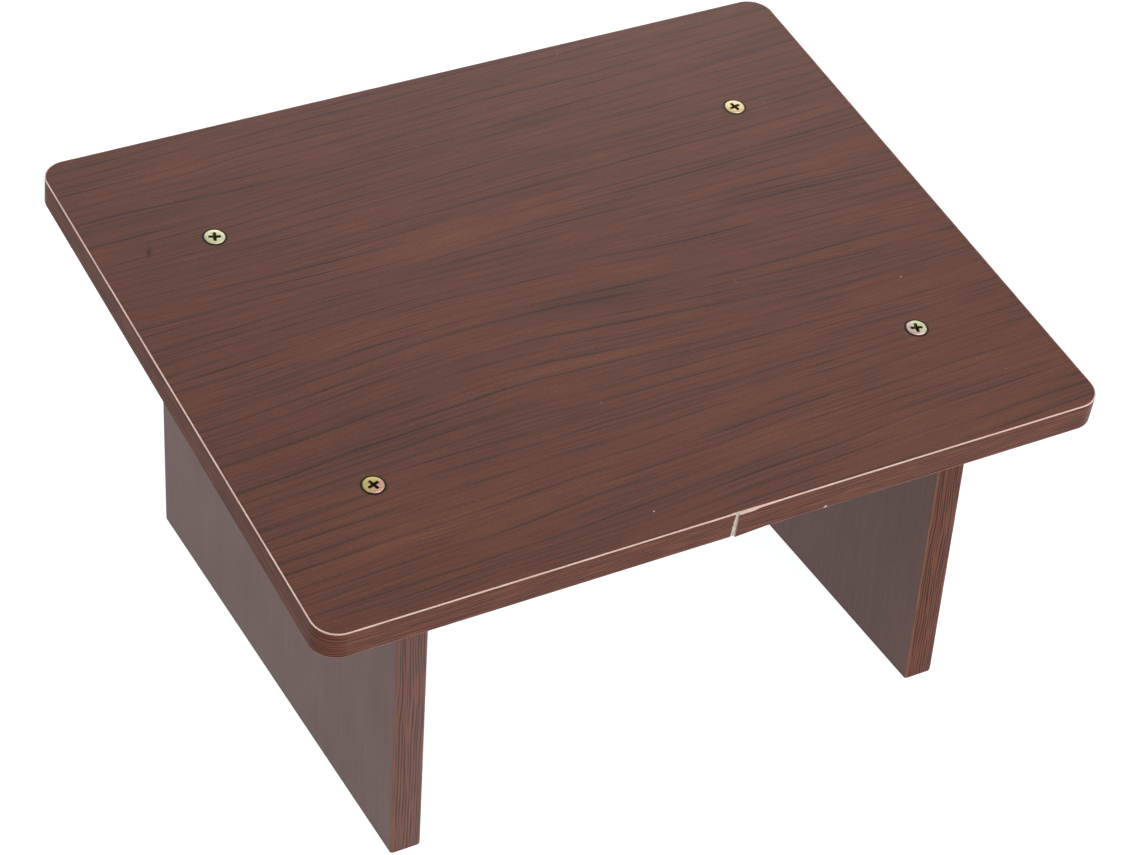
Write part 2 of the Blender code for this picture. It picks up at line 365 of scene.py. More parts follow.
SHELF_TOP_SPECULAR = 0.20
# Painted shade: a dark ring round each screw head stands for the shade in the gap round the head, and partly
# for the hole's dark, frayed laminate edge
HEAD_SHADE_RADIUS = 5.75                 # millimetres from a screw's middle to where the painted shade round its head starts to fade
HEAD_SHADE_REACH = 6.20                  # and to where it ends
HEAD_SHADE_SCALE = 10.0                  # keeps both inside a ramp, which runs from 0 to 1
HEAD_SHADE_COLOUR = (0.010, 0.006, 0.005)
STAIN = (-174, 86.6, 1.3, 2.8)    # the stain's x, u, half length and half width, in millimetres
STAIN_LEAN = 0.35                 # how far it leans to the right for each millimetre uphill
STAIN_SHARE = 0.8
STAIN_COLOUR = (0.020, 0.010, 0.008)
DUST = (17, 0.42, 0.10)           # spacing and radius of the specks in millimetres, and the share kept
FINE_DUST = (9, 0.22, 0.10)
DUST_SHIFT = 5.0                  # millimetres that the fine specks' pattern is moved along
DUST_SHARE = 0.75
DUST_COLOUR = (0.62, 0.47, 0.40)


def head_shade_rims(look, along, across):
    """1 on a dark ring round each screw head, fading out beyond it: painted shade of the gap, partly its
    frayed edge.
    """
    fade = ((HEAD_SHADE_RADIUS / HEAD_SHADE_SCALE, 1.0), (HEAD_SHADE_REACH / HEAD_SHADE_SCALE, 0.0))
    shade_rims = 0.0
    for node in (n for n in frame["nodes"] if n.endswith("_screw")):
        dx = look.math("SUBTRACT", along, middle(node, ALONG) / MM)
        dy = look.math("SUBTRACT", across, (middle(node, UPHILL) - SHELF_U) / MM)
        distance = look.math("SQRT", look.add(look.times(dx, dx), look.times(dy, dy)))
        shade_rims = look.add(shade_rims, look.ramp(look.times(distance, 1 / HEAD_SHADE_SCALE), *fade))
    return shade_rims


def shelf_top_look():
    """The shelf's top: its own figure, a stain near the left edge, dust and a painted shade ring round each
    head.
    """
    look = Look("shelf_top_print", specular=SHELF_TOP_SPECULAR)
    along = look.millimetres(ALONG)
    across = look.millimetres(UPHILL, SHELF_U)
    colour = wood(look, along, across, 4.0, SHELF_FIGURE, curved=True)
    lean = look.times(look.math("SUBTRACT", across, STAIN[1]), STAIN_LEAN)
    stain = look.hump(look.math("SUBTRACT", along, lean), across, STAIN)
    colour = look.mix(look.times(stain, STAIN_SHARE), colour, STAIN_COLOUR)
    dust = specks(look, along, across, *DUST)
    fine_dust = specks(look, look.add(along, DUST_SHIFT), across, *FINE_DUST)
    colour = look.mix(look.times(look.add(dust, fine_dust), DUST_SHARE), colour, DUST_COLOUR)
    # Painted shade round each screw head
    colour = look.mix(head_shade_rims(look, along, across), colour, HEAD_SHADE_COLOUR)
    finish_wood(look, along, across, colour)
    return look.material


BAND_TINT_SHARE = 0.2             # how much of a band's colour is its tint
BAND_SPECULAR = 0.06
DULL_BAND_SPECULAR = 0.02         # down the shelf's left side and round to the front
GLOSSY_BAND_SPECULAR = 0.30       # on the left leg
SHELF_BAND_TINT = (0.18, 0.068, 0.050)
LEG_BAND_TINT = (0.16, 0.064, 0.050)
SHELF_BAND_INSIDE = ((0.55, 0.395, 0.34), (0.41, 0.27, 0.23))    # the bare plastic, clean and grimy
LEG_BAND_INSIDE = ((0.19, 0.080, 0.052), (0.10, 0.042, 0.028))
# Painted light: the paler bare plastic on the shelf's left side, as if more light fell there
LIT_SIDE_INSIDE = (0.82, 0.60, 0.53)
LIT_SIDE_FADE = 12                 # millimetres over which the painted light on the left side fades in and out
BAND_REACH = 1500.0               # millimetres, more than the band's length
CUTTER_MARK_DEPTH = 0.02 * MM


def band_print(name, seed, tint, specular):
    """Printed face of an edge band, whose mesh stores how far each point lies along and across it."""
    look = Look(name, specular=specular)
    along, across = look.stored("grain")
    colour = wood(look, along, across, seed, line_spacing=2.4, lines=0.4, grooves=5.0)
    finish_wood(look, along, across, look.mix(BAND_TINT_SHARE, colour, tint), rough=0.42)
    return look.material


def band_body(name, colours, seed, lit_side=None):
    """The bare plastic where a band is trimmed, clean or grimy, with faint cutter marks. The last argument is
    the start and end of a stretch painted paler as painted light, in millimetres along the band."""
    look = Look(name)
    clean, grimy = colours
    along, across = look.stored("grain")
    marks = look.noise(along, across, 0.9, 4.0, seed, detail=2)
    grime = look.ramp(look.noise(along, across, 14, 2, seed + 1, detail=3), (0.35, 0.0), (0.75, 1.0))
    # Painted light: this stretch of the band is painted paler, as if lit more
    if lit_side:
        start, end = lit_side
        stops = ((start - LIT_SIDE_FADE, 0.0), (start, 1.0), (end, 1.0), (end + LIT_SIDE_FADE, 0.0))
        stops = [(place / BAND_REACH, value) for place, value in stops]
        clean = look.mix(look.ramp(look.times(along, 1 / BAND_REACH), *stops), clean, LIT_SIDE_INSIDE)
    look.set("Base Color", look.mix(look.times(grime, 0.5), clean, grimy))
    look.bump(marks, CUTTER_MARK_DEPTH)
    look.set("Roughness", look.add(0.45, look.times(marks, 0.2)))
    return look.material


CHIPS_PER_METRE = 620.0
CHIP_COLOURS = ((0.0, (0.26, 0.17, 0.10)), (0.5, (0.46, 0.34, 0.21)), (1.0, (0.62, 0.49, 0.33)))
PIT_COLOUR = (0.09, 0.055, 0.03)
PIT_DEPTH = 0.25 * MM


def particleboard_look():
    """Pressed chips: pale and darker flakes with dark pits between them."""
    look = Look("particleboard_chips")
    flakes = look.tree.nodes.new("ShaderNodeTexVoronoi")
    look.plug(flakes.inputs["Vector"], look.tree.nodes.new("ShaderNodeTexCoord").outputs["Object"])
    flakes.inputs["Scale"].default_value = CHIPS_PER_METRE
    lot = look.tree.nodes.new("ShaderNodeSeparateXYZ")
    look.tree.links.new(flakes.outputs["Color"], lot.inputs[0])
    colour = look.ramp(lot.outputs["X"], *CHIP_COLOURS)
    pits = look.ramp(flakes.outputs["Distance"], (0.55, 0.0), (0.9, 1.0))
    look.set("Base Color", look.mix(look.times(pits, 0.6), colour, PIT_COLOUR))
    look.bump(flakes.outputs["Distance"], -PIT_DEPTH)
    look.set("Roughness", look.add(0.75, look.times(lot.outputs["Y"], 0.2)))
    return look.material


def glue_look():
    """Hot-melt glue and filler smeared on the board's edge."""
    look = Look("edge_glue")
    smears = look.noise(look.millimetres(ALONG), look.millimetres(NORMAL), 0.8, 2.5, 2.0, detail=3)
    look.set("Base Color", look.ramp(smears, (0.3, (0.38, 0.33, 0.28)), (0.6, (0.56, 0.49, 0.43))))
    look.bump(smears, 0.1 * MM)
    look.set("Roughness", look.add(0.4, look.times(smears, 0.3)))
    return look.material


TINT_CLOUD = (9.0, 3.0, 3.0)      # how far the border of a screw's two tints strays, in what size of patch
TINT_SLIDE = 0.13                 # share of the change of tint in each millimetre
TARNISH = (0.35, 0.25, 0.12)


def zinc_look(name, here, first, second, turn):
    """Yellow-passivated zinc, its tint sliding from first to second across the head in the direction turn."""
    look = Look(name, metallic=0.7)
    across_head = ALONG * math.cos(turn) + UPHILL * math.sin(turn)
    distance = look.millimetres(across_head, here.dot(across_head))
    x = look.millimetres(ALONG)
    y = look.millimetres(UPHILL)
    cloud = look.wave(x, y, TINT_CLOUD, turn, detail=2)
    share = look.add(0.5, look.times(look.add(distance, cloud), TINT_SLIDE))
    slide = look.ramp(share, (0.2, first), (0.8, second))
    stains = look.ramp(look.noise(x, y, 1.2, 1.2, turn + 5, detail=3), (0.5, 0.0), (0.75, 1.0))
    look.set("Base Color", look.mix(look.times(stains, 0.3), slide, TARNISH))
    scratches = look.noise(x, y, 0.6, 0.25, turn + 9, detail=2)
    look.bump(scratches, 0.03 * MM)
    look.set("Roughness", look.add(0.24, look.times(scratches, 0.16)))
    return look.material


def recess_look():
    """Inside of a cross recess: dull and dark, partly with dark oil left in it and partly painted shade deep
    in the recess.
    """
    look = Look("recess_stain_and_shade", metallic=0.7)
    oil_and_shade = look.noise(look.millimetres(ALONG), look.millimetres(UPHILL), 0.8, 0.8, 1.0, detail=2)
    # Painted shade: the dark colour stands both for the oil and for the shade deep in the recess
    look.set("Base Color", look.ramp(oil_and_shade, (0.35, (0.020, 0.014, 0.005)), (0.7, (0.11, 0.085, 0.03))))
    look.set("Roughness", look.add(0.4, look.times(oil_and_shade, 0.3)))
    return look.material


# ---------------------------------------------------------------- meshes, and the CAD nodes that stay

SHARP_ANGLE = math.radians(28)
PRINT, BODY, DULL_PRINT = range(3)                           # places in a band's list of materials


def piece_from(name, bm, materials, replaced=()):
    """Adds a finished mesh piece that rides on the stand and stands for the replaced CAD nodes."""
    mesh = bpy.data.meshes.new(name)
    bm.to_mesh(mesh)
    bm.free()
    for material in materials:
        mesh.materials.append(material)
    mesh.shade_smooth()
    mesh.set_sharp_from_angle(angle=SHARP_ANGLE)
    piece = bpy.data.objects.new(name, mesh)
    bpy.context.scene.collection.objects.link(piece)
    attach(piece, "root")
    if replaced:
        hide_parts(*replaced)


def paint(node, material):
    frame["nodes"][node].material_slots[0].material = material


def loft(rings, slots, grain):
    """A strip through rings of points, capped at both ends. slots says which material follows each point of a
    ring, and grain gives each ring's places along and across the print, in millimetres."""
    bm = bmesh.new()
    layer = bm.verts.layers.float_vector.new("grain")
    rows = []
    for ring, marks in zip(rings, grain):
        row = []
        for point, (along, across) in zip(ring, marks):
            vert = bm.verts.new(point)
            vert[layer] = (along, across, 0.0)
            row.append(vert)
        rows.append(row)
    count = len(slots)
    for row, following_row in zip(rows, rows[1:]):
        for k in range(count):
            following = (k + 1) % count
            face = bm.faces.new((row[k], row[following], following_row[following], following_row[k]))
            face.material_index = slots[k]
    for row in (rows[0], rows[-1]):
        bm.faces.new(row).material_index = BODY
    bmesh.ops.recalc_face_normals(bm, faces=bm.faces)
    return bm


def smooth_step(value, low, high):
    share = min(max((value - low) / (high - low), 0.0), 1.0)
    return share * share * (3 - 2 * share)


# ---------------------------------------------------------------- shelf edge band

CORNER_RADIUS = 12.5 * MM
CORNER_STEPS = 28
BAND_STEP = 2.0 * MM              # between the sections along the straight runs
BAND_THICKNESS = 0.8 * MM
TOP_DROP = 0.02 * MM              # how far the trimmed band stands below the board's top face
TOP_BEVEL_IN = 0.60 * MM          # how far the trimmer has cut into the band, and down its face
TOP_BEVEL_DOWN = 0.42 * MM
BOTTOM_RISE = 0.35 * MM           # how far its lower edge stands above the underside
BOTTOM_BEVEL_IN = 0.20 * MM
BOTTOM_BEVEL_UP = 0.30 * MM
EASE = 0.05 * MM                  # rounding between the faces
UNEVENNESS = 0.09 * MM            # how far the trimmer wanders, and over what length
UNEVEN_LENGTH = 9 * MM
FACE_ROWS = 20                    # rows of faces up the band, which carry its print
JOINT_LEFT_END = -0.3 * MM        # where the band's two ends stand, left and right of the open joint
JOINT_RIGHT_END = 2.0 * MM
END_LEAN = 0.5 * MM               # how far the left end leans, from the middle of its height to the top
NICK_DEPTH = 0.55 * MM
NICK_HEIGHTS = (-0.7 * MM, 2.4 * MM)
NICK_WIDTH = 0.5 * MM
SLIP = 1.15 * MM                  # how far the right end has slipped down the board
SLIP_LENGTH = 16.0 * MM
SLIP_CUT = 1.20 * MM              # how much deeper the trimmer has cut there
CUT_START = 9 * MM                # where the cut starts to get shallower
CUT_ENDS = ((0.55, 13 * MM), (0.45, 30 * MM))                # shares of it, and where each has gone
CHIP_X = 49.0 * MM
CHIP_LENGTH = 2.4 * MM
CHIP_RISE = 1.4 * MM

HALF_WIDTH = SHELF_WIDTH / 2 - CORNER_RADIUS                 # of the straight runs
HALF_DEPTH = SHELF_DEPTH / 2 - CORNER_RADIUS
CORNER_ARC = CORNER_RADIUS * math.pi / 2

# How far along the band, in whole millimetres, the shelf's left side starts and ends, and the corner after it
# ends
LEFT_START = math.floor((3 * HALF_WIDTH + 2 * HALF_DEPTH + 3 * CORNER_ARC) / MM)
LEFT_END = math.floor((3 * HALF_WIDTH + 4 * HALF_DEPTH + 3 * CORNER_ARC) / MM)
LEFT_CORNER_END = math.floor((3 * HALF_WIDTH + 4 * HALF_DEPTH + 4 * CORNER_ARC) / MM)


def shelf_path():
    """(x, u, outward x, outward u, distance) round the shelf, from the joint's right end to its left end."""
    front = -SHELF_DEPTH / 2
    path = []
    distance = JOINT_RIGHT_END

    def run(start, end, out):
        """A straight run, without its end point."""
        nonlocal distance
        length = (Vector(end) - Vector(start)).length
        steps = max(1, round(length / BAND_STEP))
        for k in range(steps):
            place = Vector(start).lerp(Vector(end), k / steps)
            path.append((place.x, place.y, out[0], out[1], distance + length * k / steps))
        distance += length

    def corner(centre, start_angle):
        nonlocal distance
        for k in range(CORNER_STEPS):
            angle = start_angle + math.pi / 2 * k / CORNER_STEPS
            out = (math.cos(angle), math.sin(angle))
            place = (centre[0] + CORNER_RADIUS * out[0], centre[1] + CORNER_RADIUS * out[1])
            path.append((*place, *out, distance + CORNER_ARC * k / CORNER_STEPS))
        distance += CORNER_ARC

    stops = (JOINT_RIGHT_END, CHIP_X - CHIP_LENGTH / 2, CHIP_X, CHIP_X + CHIP_LENGTH / 2, HALF_WIDTH)
    for start, end in zip(stops, stops[1:]):
        run((start, front), (end, front), (0, -1))
    corner((HALF_WIDTH, -HALF_DEPTH), -math.pi / 2)
    run((SHELF_WIDTH / 2, -HALF_DEPTH), (SHELF_WIDTH / 2, HALF_DEPTH), (1, 0))
    corner((HALF_WIDTH, HALF_DEPTH), 0.0)
    run((HALF_WIDTH, SHELF_DEPTH / 2), (-HALF_WIDTH, SHELF_DEPTH / 2), (0, 1))
    corner((-HALF_WIDTH, HALF_DEPTH), math.pi / 2)
    run((-SHELF_WIDTH / 2, HALF_DEPTH), (-SHELF_WIDTH / 2, -HALF_DEPTH), (-1, 0))
    corner((-HALF_WIDTH, -HALF_DEPTH), math.pi)
    run((-HALF_WIDTH, front), (JOINT_LEFT_END, front), (0, -1))
    path.append((JOINT_LEFT_END, front, 0.0, -1.0, distance))
    return path


def band_section(x, distance, near_front):
    """(outward, n) of the band's section at one place, from its lower inner corner, anticlockwise."""
    slip = 0.0
    chip = 0.0
    deeper = 0.0
    if near_front and x > 0:
        slip = max(0.0, 1 - (x - JOINT_RIGHT_END) / SLIP_LENGTH)
        deeper = sum(share * (1 - smooth_step(x, CUT_START, end)) for share, end in CUT_ENDS)
        chip = max(0.0, 1 - abs(x - CHIP_X) / (CHIP_LENGTH / 2))
    unevenness = noise.noise(Vector((distance / UNEVEN_LENGTH, 0, 0))) * UNEVENNESS
    top = TOP_N - TOP_DROP
    down = TOP_BEVEL_DOWN + unevenness + deeper * SLIP_CUT
    into = TOP_BEVEL_IN + unevenness * 0.4 + deeper * 0.2 * MM
    bottom = -TOP_N + BOTTOM_RISE - slip * SLIP
    up = BOTTOM_BEVEL_UP + chip * CHIP_RISE + unevenness * 0.3
    bottom_in = BOTTOM_BEVEL_IN * (1 - 0.3 * chip)
    face_low = bottom + up + EASE
    face_high = top - down - EASE
    return [
        (-BAND_THICKNESS, bottom),
        (-bottom_in, bottom),
        (-EASE, bottom + up - EASE),
        *((0.0, face_low + (face_high - face_low) * k / FACE_ROWS) for k in range(FACE_ROWS + 1)),
        (-EASE, top - down + EASE),
        (-into / 2 - EASE, top - down / 2),
        (-into, top - EASE),
        (-into - EASE, top),
        (-BAND_THICKNESS, top),
    ]


# The material of the faces that follow each point of a section
BAND_SLOTS = (BODY, BODY, PRINT) + (PRINT,) * FACE_ROWS + (PRINT, BODY, BODY, BODY, PRINT, BODY)


def ragged_end(x, n, right):
    """Where the cut end lies at height n: the left one leans and has two nicks, the right one is straight."""
    if right:
        return x + 0.12 * MM * noise.noise(Vector((n / (1.5 * MM), 3, 0)))
    lean = END_LEAN * n / TOP_N
    nicks = sum(NICK_DEPTH * math.exp(-((n - height) / NICK_WIDTH) ** 2) for height in NICK_HEIGHTS)
    return x + lean - nicks + 0.1 * MM * noise.noise(Vector((n / (0.9 * MM), 8, 0)))


def make_shelf_band():
    rings = []
    grain = []
    path = shelf_path()
    last = len(path) - 1
    for k, (x, u, out_x, out_u, distance) in enumerate(path):
        near_front = u < -SHELF_DEPTH / 2 + MM
        section = band_section(x, distance, near_front)
        ring = [(x + out_x * out, u + out_u * out, n) for out, n in section]
        if k in (0, last):
            ring = [(ragged_end(px, n, k == 0), pu, n) for px, pu, n in ring]
        rings.append([SHELF @ Vector(point) for point in ring])
        grain.append([(distance / MM, n / MM) for _, n in section])
    bm = loft(rings, BAND_SLOTS, grain)
    layer = bm.verts.layers.float_vector["grain"]
    for face in bm.faces:
        on_left = all(LEFT_START < vert[layer][0] < LEFT_CORNER_END for vert in face.verts)
        if on_left and face.material_index == PRINT:
            face.material_index = DULL_PRINT
    materials = [
        band_print("shelf_band_print", 31.0, SHELF_BAND_TINT, BAND_SPECULAR),
        # The shelf's left side gets painted light on its bare plastic
        band_body("shelf_band_body", SHELF_BAND_INSIDE, 5.0, (LEFT_START, LEFT_END)),
        band_print("shelf_band_dull_print", 31.0, SHELF_BAND_TINT, DULL_BAND_SPECULAR),
    ]
    piece_from("edge_band", bm, materials, ["shelf_edge_band"])


# ---------------------------------------------------------------- leg bands

LEG_BEVEL_IN = 0.40 * MM
LEG_BEVEL_ALONG = 0.90 * MM
LEG_STEP = 3.0 * MM
LEG_UNEVENNESS = 0.18             # of a bevel, up or down
FOOT_EASE = 0.35 * MM             # how much more the bevels take off at the floor
LEG_SLOTS = (BODY, BODY, BODY, PRINT, PRINT, BODY, BODY, BODY, BODY)


def make_leg_band(node, facing, materials):
    """The band on a leg's front (facing -1) or back edge, as wide as the CAD one and cut off at the shelf."""
    low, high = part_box(node)
    underside = span(node, NORMAL)[1]
    centre = (low.x + high.x) / 2
    half = (high.x - low.x) / 2
    face = low.y if facing < 0 else high.y
    inner = high.y if facing < 0 else low.y
    rings = []
    grain = []
    steps = round((high.z - low.z) / LEG_STEP)
    for k in range(steps + 1):
        share = k / steps
        ease = FOOT_EASE if k == 0 else 0.0
        uneven = 1 + LEG_UNEVENNESS * noise.noise(Vector((centre * 50, facing, share * 14)))
        into = LEG_BEVEL_IN * uneven + ease
        along = LEG_BEVEL_ALONG * uneven + ease
        section = [
            (-half, inner),
            (-half, face - facing * into),
            (-half + along * 0.35, face - facing * into * 0.45),
            (-half + along, face),
            (0.0, face),
            (half - along, face),
            (half - along * 0.35, face - facing * into * 0.45),
            (half, face - facing * into),
            (half, inner),
        ]
        ring = []
        for x, y in section:
            top = (underside - y * NORMAL.y) / NORMAL.z
            ring.append(Vector((centre + x, y, low.z + (top - low.z) * share)))
        rings.append(ring)
        grain.append([(point.z / MM, (point.x - centre) / MM) for point in ring])
    bm = loft(rings, LEG_SLOTS, grain)
    piece_from(f"{node}_trimmed", bm, materials, [node])


def make_leg_bands():
    body = band_body("leg_band_body", LEG_BAND_INSIDE, 9.0)
    for side, specular in (("left", GLOSSY_BAND_SPECULAR), ("right", BAND_SPECULAR)):
        materials = (band_print(f"{side}_leg_band_print", 57.0, LEG_BAND_TINT, specular), body)
        make_leg_band(f"{side}_leg_front_band", -1, materials)
        make_leg_band(f"{side}_leg_back_band", 1, materials)
        paint(f"{side}_leg_bottom_band", foot_look(side))


def foot_look(side):
    """The lower end's band, scuffed by the floor."""
    look = Look(f"{side}_foot_print")
    along = look.millimetres(BACK)
    across = look.millimetres(ALONG)
    colour = wood(look, along, across, 71.0, line_spacing=2.6)
    scuffs = look.ramp(look.noise(along, across, 9, 0.7, 4.0, detail=4), (0.55, 0.0), (0.72, 1.0))
    colour = look.mix(look.times(scuffs, 0.5), colour, (0.30, 0.20, 0.16))
    finish_wood(look, along, across, colour, rough=0.5)
    return look.material


# ---------------------------------------------------------------- joint glue

GLUE_UNDER_LEFT = 1.6 * MM        # how far the glue reaches under the band's two ends
GLUE_UNDER_RIGHT = 0.9 * MM
GLUE_THICKNESS = 0.16 * MM
GLUE_LUMPS = 0.10 * MM            # how much thicker or thinner it gets, and the lumps' width and height
LUMP_WIDTH = 0.9 * MM
LUMP_HEIGHT = 1.6 * MM
GLUE_RIM = 0.5 * MM               # the border over which it thins out
GLUE_INTO_BOARD = 0.06 * MM


def make_joint_glue():
    """The smear of hot-melt glue on the board's edge that shows between the band's two ends."""
    left = JOINT_LEFT_END - GLUE_UNDER_LEFT
    right = JOINT_RIGHT_END + GLUE_UNDER_RIGHT
    front = -SHELF_DEPTH / 2
    columns = 14
    rows = 36
    bm = bmesh.new()

    def sheet(depth_at):
        grid = []
        for j in range(rows + 1):
            n = -TOP_N + 2 * TOP_N * j / rows
            line = []
            for i in range(columns + 1):
                x = left + (right - left) * i / columns
                line.append(bm.verts.new(SHELF @ Vector((x, front + depth_at(x, n), n))))
            grid.append(line)
        return grid

    def lumps(x, n):
        edge = min(1.0, (x - left) / GLUE_RIM, (right - x) / GLUE_RIM)
        lump = noise.noise(Vector((x / LUMP_WIDTH, n / LUMP_HEIGHT, 0)))
        return BAND_THICKNESS - (GLUE_THICKNESS + GLUE_LUMPS * lump) * max(edge, 0.05)

    outer = sheet(lumps)
    inner = sheet(lambda x, n: BAND_THICKNESS + GLUE_INTO_BOARD)
    for grid in (outer, inner):
        for j in range(rows):
            for i in range(columns):
                bm.faces.new((grid[j][i], grid[j][i + 1], grid[j + 1][i + 1], grid[j + 1][i]))
    rim = [(0, i) for i in range(columns)] + [(j, columns) for j in range(rows)]
    rim += [(rows, columns - i) for i in range(columns)] + [(rows - j, 0) for j in range(rows)]
    for (j, i), (next_j, next_i) in zip(rim, rim[1:] + rim[:1]):
        bm.faces.new((outer[j][i], outer[next_j][next_i], inner[next_j][next_i], inner[j][i]))
    bmesh.ops.recalc_face_normals(bm, faces=bm.faces)
    piece_from("joint_glue", bm, [glue_look()])


# ---------------------------------------------------------------- screws

SCREW_RADIUS = 2.5 * MM
CORE_RADIUS = 1.6 * MM            # at the bottom of the thread
SHANK_RADIUS = CORE_RADIUS + 0.25 * MM
THREAD_PITCH = 2.2 * MM
THREAD_START = 12.0 * MM          # below the top of the head
THREAD_RUN_IN = 3 * MM
CREST_WIDTH = 0.22                # half of a crest's foot, as a share of the pitch
HEAD_RADIUS = 4.9 * MM
HEAD_LAND = 0.4 * MM              # height of the head's rim
HEAD_EASE = 0.28 * MM             # rounding of its upper edge
HEAD_STEPS = 6
SHANK_STEP = 0.5 * MM
TIP_LENGTH = 7.0 * MM
TIP_SHARE = 0.02                  # how thin the tip ends, as a share of the shank
SCREW_SEGMENTS = 64
RECESS_DEPTH = 2.6 * MM
RECESS_SPAN = 6.0 * MM            # from end to end of the cross, at the top
RECESS_ARM = 1.60 * MM            # width of an arm there
RECESS_ABOVE = 0.2 * MM           # how far the cutting body stands above the head

# The cross at each level: depth as a share of the recess's, and span as a share of the span at the top
RECESS_LEVELS = ((0.0, 1.0), (0.55, 0.74), (0.85, 0.50), (1.0, 0.26))


def screw_radius(depth, angle, length):
    """The screw's radius at a depth below its head's top: head, plain shank, thread and point."""
    if depth <= HEAD_EASE:
        return HEAD_RADIUS - HEAD_EASE + math.sqrt(max(HEAD_EASE**2 - (HEAD_EASE - depth) ** 2, 0.0))
    if depth <= HEAD_LAND:
        return HEAD_RADIUS
    cone = HEAD_RADIUS - (depth - HEAD_LAND)
    shank = SHANK_RADIUS
    if depth > THREAD_START:
        turn = (depth / THREAD_PITCH - angle / (2 * math.pi)) % 1.0
        crest = max(0.0, 1 - abs(turn - 0.5) / CREST_WIDTH)
        grown = smooth_step(depth, THREAD_START, THREAD_START + THREAD_RUN_IN)
        shank = CORE_RADIUS + (SCREW_RADIUS - CORE_RADIUS) * crest * grown
    taper = min(1.0, max((length - depth) / TIP_LENGTH, TIP_SHARE))
    return max(cone, shank * taper)


def screw_body(length):
    """The turned and threaded screw, its head's top at height 0."""
    depths = [HEAD_EASE * (1 - math.cos(math.pi / 2 * k / HEAD_STEPS)) for k in range(HEAD_STEPS + 1)]
    depth = HEAD_LAND
    while depth < length:
        depths.append(depth)
        depth += SHANK_STEP if depth < THREAD_START else THREAD_PITCH / 10
    depths.append(length)
    bm = bmesh.new()
    rows = []
    for depth in depths:
        row = []
        for k in range(SCREW_SEGMENTS):
            angle = 2 * math.pi * k / SCREW_SEGMENTS
            radius = screw_radius(depth, angle, length)
            row.append(bm.verts.new((radius * math.cos(angle), radius * math.sin(angle), -depth)))
        rows.append(row)
    for row, lower_row in zip(rows, rows[1:]):
        for k in range(SCREW_SEGMENTS):
            following = (k + 1) % SCREW_SEGMENTS
            bm.faces.new((row[k], row[following], lower_row[following], lower_row[k]))
    bm.faces.new(rows[0])
    bm.faces.new(rows[-1])
    bmesh.ops.recalc_face_normals(bm, faces=bm.faces)
    return bm


def recess_body():
    """A cross that narrows downwards round a conical middle, to be cut out of a head."""
    bm = bmesh.new()
    rows = []
    levels = [(RECESS_ABOVE, 1.05), *((-RECESS_DEPTH * down, share) for down, share in RECESS_LEVELS)]
    for height, share in levels:
        reach = RECESS_SPAN / 2 * share
        half = RECESS_ARM / 2 * (0.45 + 0.55 * share)
        waist = half * 1.55
        row = []
        for quarter in range(4):
            turn = Matrix.Rotation(quarter * math.pi / 2, 3, "Z")
            outline = (
                (waist, -half * 1.02),
                (reach * 0.96, -half),
                (reach, -half * 0.6),
                (reach, half * 0.6),
                (reach * 0.96, half),
                (waist, half * 1.02),
            )
            for x, y in outline:
                row.append(bm.verts.new(turn @ Vector((x, y, 0)) + Vector((0, 0, height))))
            row.append(bm.verts.new(turn @ Vector((half * 1.12, half * 1.12, 0)) + Vector((0, 0, height))))
        rows.append(row)
    count = len(rows[0])
    for row, lower_row in zip(rows, rows[1:]):
        for k in range(count):
            following = (k + 1) % count
            bm.faces.new((row[k], row[following], lower_row[following], lower_row[k]))
    bm.faces.new(rows[0])
    bm.faces.new(rows[-1])
    bmesh.ops.recalc_face_normals(bm, faces=bm.faces)
    return bm


def carved(body, tool, materials):
    """body with tool cut out of it, as a bmesh; the cut faces take the second material."""
    scraps = []
    for bm, material in ((body, materials[0]), (tool, materials[1])):
        mesh = bpy.data.meshes.new("scrap")
        bm.to_mesh(mesh)
        bm.free()
        mesh.materials.append(material)
        scrap = bpy.data.objects.new("scrap", mesh)
        bpy.context.scene.collection.objects.link(scrap)
        scraps.append(scrap)
    cut = scraps[0].modifiers.new("recess", "BOOLEAN")
    cut.operation = "DIFFERENCE"
    cut.solver = "EXACT"
    cut.material_mode = "TRANSFER"
    cut.object = scraps[1]
    graph = bpy.context.evaluated_depsgraph_get()
    result = bmesh.new()
    result.from_mesh(scraps[0].evaluated_get(graph).to_mesh())
    for scrap in scraps:
        bpy.data.objects.remove(scrap, do_unlink=True)
    return result


YELLOW_GREEN = (0.72, 0.74, 0.47)
YELLOW = (0.70, 0.58, 0.20)
PALE_GOLD = (0.75, 0.60, 0.33)
SALMON = (0.78, 0.43, 0.33)
PINK_BEIGE = (0.68, 0.51, 0.44)

# How far each screw's cross is turned, its two tints, and the direction of the second one; angles in degrees
SCREWS = {
    "front_left_screw": (19, YELLOW, SALMON, -50),
    "front_right_screw": (-15, PINK_BEIGE, YELLOW_GREEN, 10),
    "back_left_screw": (-19, YELLOW_GREEN, YELLOW_GREEN, 0),
    "back_right_screw": (13, PALE_GOLD, PALE_GOLD, 100),
}


def make_screws():
    recess = recess_look()
    for node, (turn, first, second, towards) in SCREWS.items():
        low, high = span(node, NORMAL)
        head = ALONG * middle(node, ALONG) + UPHILL * middle(node, UPHILL) + NORMAL * high
        zinc = zinc_look(f"{node}_zinc", head, first, second, math.radians(towards))
        bm = carved(screw_body(high - low), recess_body(), (zinc, recess))
        bm.transform(Matrix.Translation(head) @ SHELF_TURN @ Matrix.Rotation(math.radians(turn), 4, "Z"))
        piece_from(f"{node}_threaded", bm, (zinc, recess), [node])


# ---------------------------------------------------------------- boards


